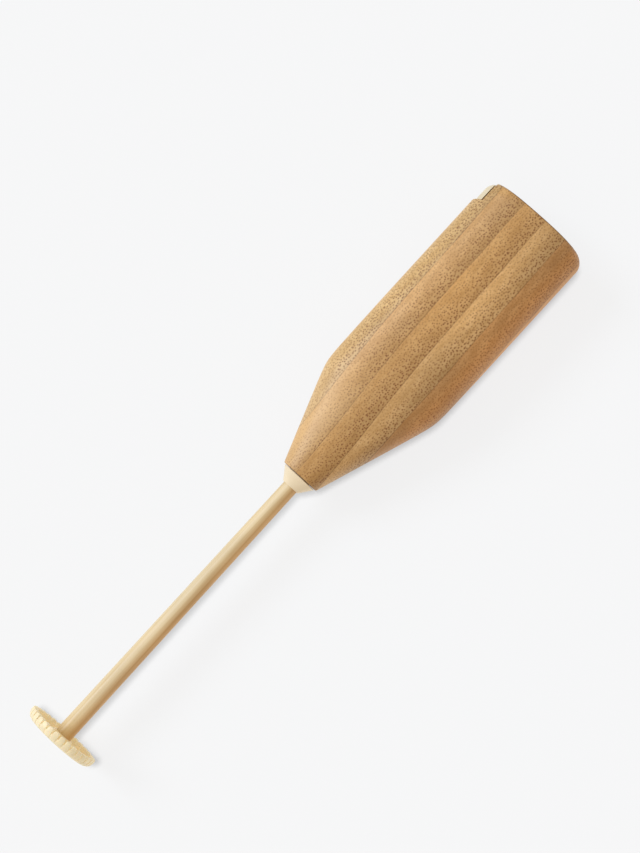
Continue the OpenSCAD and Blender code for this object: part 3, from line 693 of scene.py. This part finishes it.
def column(angle):
    """One closed line at one angle: over the outside, down the end and back through the inside."""
    level = oval(HANDLE_END, angle)[1]
    groove = PARTING_CHAMFER * max(0.0, 1 - abs(level) / PARTING_CHAMFER_REACH)
    line = []

    def outside(x, inset):
        y, z = oval(x, angle, inset + groove)
        line.append((x, min(y, notch_limit(x)), max(z, -AXIS_Z)))

    def across_end(x, inset, limit, share):
        y, z = oval(x, angle, inset)
        line.append((x, min(y, limit) * share, max(z, -AXIS_Z) * share))

    def hole(x, radius):
        line.append((x, AXIS_Y + radius * math.cos(angle), radius * math.sin(angle)))

    def rim(x, toward_middle, turn):
        drop = RIM_ROUNDING * (1 - math.cos(turn))
        outside(x + toward_middle * RIM_ROUNDING * (1 - math.sin(turn)), drop)

    hole(HANDLE_START + NOSE_HOLE_CHAMFER, NOSE_HOLE)
    hole(HANDLE_START, NOSE_HOLE + NOSE_HOLE_CHAMFER)
    rim_turns = [math.pi / 2 * i / 4 for i in range(1, 5)]
    for turn in reversed(rim_turns):
        rim(HANDLE_START, 1, turn)
    for x in outer_stations():
        outside(x, 0.0)
    for turn in rim_turns:
        rim(HANDLE_END, -1, turn)
    for share in (0.97, 0.9, 0.75, 0.5, 0.25, 0.0):
        across_end(HANDLE_END, RIM_ROUNDING, NOTCH_FLOOR, share)
    for share in (0.0, 0.5, 1.0):
        across_end(CAVITY_END, WALL, NOTCH_FLOOR - NOTCH_SKIN, share)
    for x in np.linspace(CAVITY_END - 2 * MM, CAVITY_START, 30):
        y, z = oval(float(x), angle, WALL)
        under_notch = x > HANDLE_END - NOTCH_LENGTH - 2 * MM
        bed = NOTCH_FLOOR - NOTCH_SKIN if under_notch else HALF_WIDTH
        line.append((float(x), min(y, bed), z))
    hole(CAVITY_START, NOSE_HOLE)
    return line


def grain_of(columns):
    """For each point, its place along the handle and its distance over the surface from the crown."""
    table = np.array(columns)
    steps = np.linalg.norm(np.diff(table[:, :, 1:], axis=0), axis=2)
    travelled = np.concatenate([np.zeros((1, table.shape[1])), np.cumsum(steps, axis=0)])
    centred = travelled - travelled[-1:] / 2
    grain = np.zeros(table.shape)
    grain[:, :, 0] = table[:, :, 0]
    grain[:, :, 1] = centred
    # The flat ends have no length along the handle, so there the dots follow the section
    place = table[:, :, 0]
    flat_end = (place >= HANDLE_END - SAME_PLACE) | (place <= HANDLE_START + SAME_PLACE)
    grain[flat_end] = np.stack([table[..., 2], table[..., 1], table[..., 0]], axis=-1)[flat_end]
    return grain.reshape(-1, 3)


half_handle("front_half", "battery_cover", "front_shell", BAMBOO_FRONT, 0.0)
half_handle("back_half", "handle", "back_shell", BAMBOO_BACK, math.pi)

# ---------------------------------------------------------------- nose and stick
NOSE_LOW, NOSE_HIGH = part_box("nose_cone")
NOSE_BASE = HANDLE_START - 0.3 * MM
NOSE_TIP_RADIUS = 3.3 * MM
SPIGOT_RADIUS = 4.2 * MM
BUSH_BORE = 2.4 * MM
STICK_MOUTH = 2.95 * MM
MOUTH_CHAMFER = 0.1 * MM
MOUTH_DEPTH = 2.4 * MM
INNER_WALL_END = 3.3 * MM
SHAFT_HOLE = STICK_MOUTH - 1.5 * MM
EDGE = 0.25 * MM

nose_slope = math.degrees(math.atan2(NOSE_RADIUS - NOSE_TIP_RADIUS, NOSE_BASE - NOSE_LOW.x))
lathe(
    "nose",
    "handle",
    [(NOSE_LOW.x, STICK_MOUTH + MOUTH_CHAMFER)]
    + corner(NOSE_LOW.x + EDGE, NOSE_TIP_RADIUS - EDGE, EDGE, 180, 90 + nose_slope)
    + [(NOSE_BASE - 2 * EDGE, NOSE_RADIUS - 1.4 * EDGE)]
    + corner(NOSE_BASE - EDGE, NOSE_RADIUS - EDGE, EDGE, 80, 0)
    + [
        (NOSE_BASE, SPIGOT_RADIUS),
        (NOSE_HIGH.x - EDGE, SPIGOT_RADIUS),
        (NOSE_HIGH.x, SPIGOT_RADIUS - EDGE),
        (NOSE_HIGH.x, BUSH_BORE),
        (NOSE_LOW.x + INNER_WALL_END, BUSH_BORE),
        (NOSE_LOW.x + INNER_WALL_END, SHAFT_HOLE),
        (NOSE_LOW.x + MOUTH_DEPTH, SHAFT_HOLE),
        (NOSE_LOW.x + MOUTH_DEPTH, STICK_MOUTH),
        (NOSE_LOW.x + MOUTH_CHAMFER, STICK_MOUTH),
    ],
    NOSE_CREAM,
    ["nose_cone"],
)

STICK_FOOT_RADIUS = STICK_HIGH.y - AXIS_Y
STICK_TOP_RADIUS = 2.75 * MM
SHAFT_BORE = 1.03 * MM
FOOT_CHAMFER = 0.2 * MM
TOP_CHAMFER = 0.3 * MM
lathe(
    "satin_stick",
    "whisk_drive",
    [
        (STICK_LOW.x, SHAFT_BORE),
        (STICK_LOW.x, STICK_FOOT_RADIUS - FOOT_CHAMFER),
        (STICK_LOW.x + FOOT_CHAMFER, STICK_FOOT_RADIUS),
        (STICK_HIGH.x - TOP_CHAMFER, STICK_TOP_RADIUS),
        (STICK_HIGH.x, STICK_TOP_RADIUS - TOP_CHAMFER),
        (STICK_HIGH.x, SHAFT_BORE),
    ],
    STICK_SATIN,
    ["stick"],
)

# ---------------------------------------------------------------- toothed head
TOOTH_COUNT = 32
RIM_HEIGHT = 2 * MM
RIM_INNER = HEAD_RADIUS - 1.95 * MM
WEB_TOP = 1.4 * MM
SOCKET_TOP = 3 * MM
SOCKET_RADIUS = 4.1 * MM
BOWL_ROUNDING = 2.6 * MM
# Half of a tooth's width, as a share of one tooth and its gap
TOOTH_SIDE = 0.38
TOOTH_SHOULDER = 0.72
TOOTH_EDGE = 0.4 * MM
BOWL_STEPS = 10
EDGE_STEPS = 4
GROOVE = 0.3 * MM


def tooth_share(place):
    """How high the ring stands at a place from a tooth's middle, as 0 in a gap to 1 on a crown.

    A tooth and its gap take up places from -0.5 to 0.5.
    """
    if abs(place) >= TOOTH_SIDE:
        return 0.0
    return TOOTH_SHOULDER + (1 - TOOTH_SHOULDER) * math.sqrt(1 - (place / TOOTH_SIDE) ** 2)


def head_profile(share):
    """Half section of the head, from its outer face's middle to the socket's floor."""
    top = RIM_HEIGHT + (HEAD_HIGH.x - HEAD_LOW.x - RIM_HEIGHT) * share
    groove = GROOVE * (1 - share)
    line = [(0.1 * MM, 0.0), (0.1 * MM, 6 * MM), (0.0, 9 * MM)]
    for step in range(BOWL_STEPS + 1):
        turn = math.pi / 2 * step / BOWL_STEPS
        radius = HEAD_RADIUS - BOWL_ROUNDING + (BOWL_ROUNDING - groove) * math.sin(turn)
        line.append((min(top, BOWL_ROUNDING * (1 - math.cos(turn))), radius))
    bowl_edge = line[-1][0]
    for step in range(EDGE_STEPS + 1):
        turn = math.pi / 2 * step / EDGE_STEPS
        reach = TOOTH_EDGE * (1 - math.cos(turn))
        height = top - TOOTH_EDGE * (1 - math.sin(turn))
        line.append((max(bowl_edge, height), HEAD_RADIUS - groove - reach))
    for step in range(EDGE_STEPS + 1):
        turn = math.pi / 2 * step / EDGE_STEPS
        reach = TOOTH_EDGE * (1 - math.sin(turn))
        line.append((top - TOOTH_EDGE * (1 - math.cos(turn)), RIM_INNER + reach))
    line += [
        (RIM_HEIGHT - 0.1 * MM, RIM_INNER),
        (WEB_TOP + 0.15 * MM, RIM_INNER),
        (WEB_TOP, RIM_INNER - 0.15 * MM),
        (WEB_TOP, SOCKET_RADIUS + 0.3 * MM),
        (WEB_TOP + 0.3 * MM, SOCKET_RADIUS),
        (SOCKET_TOP - 0.2 * MM, SOCKET_RADIUS),
        (SOCKET_TOP, SOCKET_RADIUS - 0.2 * MM),
        (SOCKET_TOP, STICK_FOOT_RADIUS + 0.05 * MM),
        (WEB_TOP + 0.1 * MM, STICK_FOOT_RADIUS + 0.03 * MM),
        (WEB_TOP + 0.1 * MM, 0.0),
    ]
    return line


def toothed_head():
    """The whisk's head: its half section, carried round the axis over teeth and gaps."""
    flank = [TOOTH_SIDE * share for share in (0.0, 0.2, 0.4, 0.58, 0.74, 0.87, 0.96, 0.999)]
    gap = [TOOTH_SIDE + 0.01, 0.44]
    places = sorted([-place for place in flank[1:] + gap] + flank + gap + [0.5])
    points = []
    for tooth in range(TOOTH_COUNT):
        for place in places:
            turn = 2 * math.pi * (tooth + place) / TOOTH_COUNT
            for x, radius in head_profile(tooth_share(place)):
                y = AXIS_Y + radius * math.cos(turn)
                z = AXIS_Z + radius * math.sin(turn)
                points.append((HEAD_LOW.x + x, y, z))
    rows = TOOTH_COUNT * len(places)
    faces = grid_faces(rows, len(points) // rows, close_rows=True)
    obj = make_piece(
        "toothed_head", "whisk_drive", points, faces, HEAD_CREAM, ["whisk_head"]
    )
    tidy_mesh(obj)
    dress(obj, HEAD_CREAM, smooth_angle=40)


toothed_head()

# ---------------------------------------------------------------- cells with their sleeves
TIP_RADIUS = 2.7 * MM
TIP_HEIGHT = 1.2 * MM


def cell(node, name, points_to_head):
    """One dry cell with its rolled rims and its positive tip, in its sleeve."""
    low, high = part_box(node)
    radius = (high.y - low.y) / 2
    centre_y, centre_z = (low.y + high.y) / 2, (low.z + high.z) / 2
    length = high.x - low.x
    body = length - TIP_HEIGHT
    profile = [
        (0.35 * MM, 0.0),
        (0.35 * MM, radius - 1.6 * MM),
        (0.0, radius - 1.4 * MM),
        (0.0, radius - 0.7 * MM),
        (0.15 * MM, radius - 0.2 * MM),
        (0.5 * MM, radius),
        (body - 0.7 * MM, radius),
        (body - 0.3 * MM, radius - 0.2 * MM),
        (body - 0.2 * MM, radius - 0.7 * MM),
        (body - 0.35 * MM, radius - 0.9 * MM),
        (body - 0.35 * MM, TIP_RADIUS + 0.4 * MM),
        (body, TIP_RADIUS),
        (length - 0.25 * MM, TIP_RADIUS),
        (length, TIP_RADIUS - 0.25 * MM),
        (length, 0.0),
    ]
    points = []
    for along_cell, reach in profile:
        x = high.x - along_cell if points_to_head else low.x + along_cell
        for i in range(CELL_SEGMENTS):
            turn = 2 * math.pi * i / CELL_SEGMENTS
            points.append((x, centre_y + reach * math.cos(turn), centre_z + reach * math.sin(turn)))
    faces = grid_faces(len(profile), CELL_SEGMENTS, close_columns=True)
    material = sleeve(name + "_sleeve", low.x, high.x, points_to_head)
    obj = make_piece(name, "handle", points, faces, material, [node])
    tidy_mesh(obj)
    dress(obj, material)


cell("battery_near", "cell_near", points_to_head=False)
cell("battery_far", "cell_far", points_to_head=True)

# ---------------------------------------------------------------- parts that keep their CAD shape
# Each node's material and the width of its softened edges in millimetres
FINISHES = {
    "chassis": (CHASSIS_CREAM, 0.2),
    "chassis_screws": (SCREW_STEEL, 0.12),
    "drive_shaft": (STEEL, 0.1),
    "shaft_coupling": (DARK_PLASTIC, 0.2),
    "shaft_bushes": (BRONZE, 0.1),
    "nose_seal": (RUBBER, 0.1),
    "motor_can": (CAN_STEEL, 0.35),
    "motor_magnets": (MAGNET, 0.1),
    "motor_cap": (CAP_NYLON, 0.25),
    "motor_bushes": (BRONZE, 0.08),
    "motor_brushes": (COPPER, 0.03),
    "motor_terminals": (BRASS, 0.06),
    "rotor_shaft": (STEEL, 0.1),
    "rotor_core": (CORE_IRON, 0.06),
    "rotor_windings": (WINDING, 0.15),
    "commutator": (COPPER, 0.04),
    "battery_springs": (STEEL, 0.0),
    "battery_plates": (BRASS, 0.06),
    "bridge_strip": (BRASS, 0.06),
    "thumb_button": (PAD_CREAM, 0.2),
    "switch_base": (CHASSIS_CREAM, 0.12),
    "switch_leaf": (BRASS, 0.05),
    "switch_contact": (BRASS, 0.05),
    "motor_lead": (LEAD_BLACK, 0.0),
    "switch_lead": (LEAD_RED, 0.0),
    "cell_lead": (LEAD_RED, 0.0),
}

SHARP_EDGE = math.radians(35)

for node, (material, edge_width) in FINISHES.items():
    part = frame["nodes"][node]
    part.data.materials.clear()
    part.data.materials.append(material)
    if edge_width > 0:
        bevel = part.modifiers.new("soft_edges", "BEVEL")
        bevel.width = edge_width * MM
        bevel.segments = 2
        bevel.limit_method = "ANGLE"
        bevel.angle_limit = SHARP_EDGE
        bevel.use_clamp_overlap = True

# ---------------------------------------------------------------- camera
# It looks down from a little to one side, and the whisk lies aslant in the picture.
ROLL = math.radians(8)
LEAN = math.radians(47.54)
PIXELS_PER_METRE = 3000
CAMERA_DISTANCE = 0.915
IMAGE_HEIGHT = 853
SENSOR = 36.0
AIM_X = 18.6 * MM
AIM_ACROSS = -7.4 * MM
EYE_BACK = 35.7 * MM

toward_camera = Vector((0, -math.sin(ROLL), math.cos(ROLL)))
across = Vector((0, -math.cos(ROLL), -math.sin(ROLL)))
along = Vector((1, 0, 0))
right = math.cos(LEAN) * along + math.sin(LEAN) * across
up = math.sin(LEAN) * along - math.cos(LEAN) * across
target = Vector((AIM_X, 0, AXIS_Z)) + AIM_ACROSS * across
eye = target - EYE_BACK * along + CAMERA_DISTANCE * toward_camera
camera_data = bpy.data.cameras.new("camera")
camera_data.sensor_width = SENSOR
camera_data.lens = PIXELS_PER_METRE * CAMERA_DISTANCE / IMAGE_HEIGHT * SENSOR
camera_data.shift_x = EYE_BACK * math.cos(LEAN) * PIXELS_PER_METRE / IMAGE_HEIGHT
camera_data.shift_y = EYE_BACK * math.sin(LEAN) * PIXELS_PER_METRE / IMAGE_HEIGHT
camera_data.clip_start = 10 * MM
camera_data.clip_end = 20
camera = bpy.data.objects.new("camera", camera_data)
turn = Matrix((right, up, toward_camera)).transposed().to_4x4()
camera.matrix_world = Matrix.Translation(eye) @ turn
bpy.context.scene.collection.objects.link(camera)
bpy.context.scene.camera = camera

# ---------------------------------------------------------------- floor and light
scene = bpy.context.scene
scene.view_settings.view_transform = "Standard"

SKY = (0.6, 0.52, 0.42, 1)
FLOOR_TONE = (0.15, 0.15, 0.15, 1)
FLOOR_REACH = 3
FLOOR_GLOW = (0.5, 0.51, 0.525, 1)
FLOOR_BOUNCE = (0.46, 0.44, 0.4, 1)

world = bpy.data.worlds.new("studio")
world.use_nodes = True
world.node_tree.nodes["Background"].inputs[0].default_value = SKY
world.node_tree.nodes["Background"].inputs[1].default_value = 1.0
scene.world = world

# The pale floor's own glow shows brighter to the camera than to the whisk
floor_mesh = bpy.data.meshes.new("floor")
floor_signs = ((-1, -1), (1, -1), (1, 1), (-1, 1))
floor_corners = [(x * FLOOR_REACH, y * FLOOR_REACH, 0) for x, y in floor_signs]
floor_mesh.from_pydata(floor_corners, [], [(0, 1, 2, 3)])
floor = bpy.data.objects.new("floor", floor_mesh)
scene.collection.objects.link(floor)
floor_paint = Paint("pale_floor", Roughness=0.9, Specular_IOR_Level=0.0)
floor_paint.shader.inputs["Base Color"].default_value = FLOOR_TONE
seen = floor_paint.add("ShaderNodeLightPath").outputs["Is Camera Ray"]
floor_paint.feed(
    floor_paint.shader.inputs["Emission Color"], floor_paint.mix(seen, FLOOR_BOUNCE, FLOOR_GLOW)
)
floor_paint.shader.inputs["Emission Strength"].default_value = 1.0
floor_mesh.materials.append(floor_paint.material)


def sun(name, direction, strength, color, spread):
    """A distant lamp that shines from a direction; its spread in degrees softens the shadows."""
    light = bpy.data.lights.new(name, "SUN")
    light.energy = strength
    light.color = color
    light.angle = math.radians(spread)
    lamp = bpy.data.objects.new(name, light)
    lamp.rotation_mode = "QUATERNION"
    lamp.rotation_quaternion = Vector(direction).to_track_quat("Z", "Y")
    scene.collection.objects.link(lamp)
    return lamp


sun("key", (-0.15, 0.73, 0.66), 1.4, (0.9, 1.0, 1.12), 25)

# A steep light that falls on the floor alone, not on the whisk, keeps the whisk's shadow narrow
floor_lamp = sun("floor_light", (0.0, -0.01, 1.0), 6.2, (1.0, 1.0, 1.0), 11)
lit_by_it = bpy.data.collections.new("lit_by_floor_light")
lit_by_it.objects.link(floor)
floor_lamp.light_linking.receiver_collection = lit_by_it
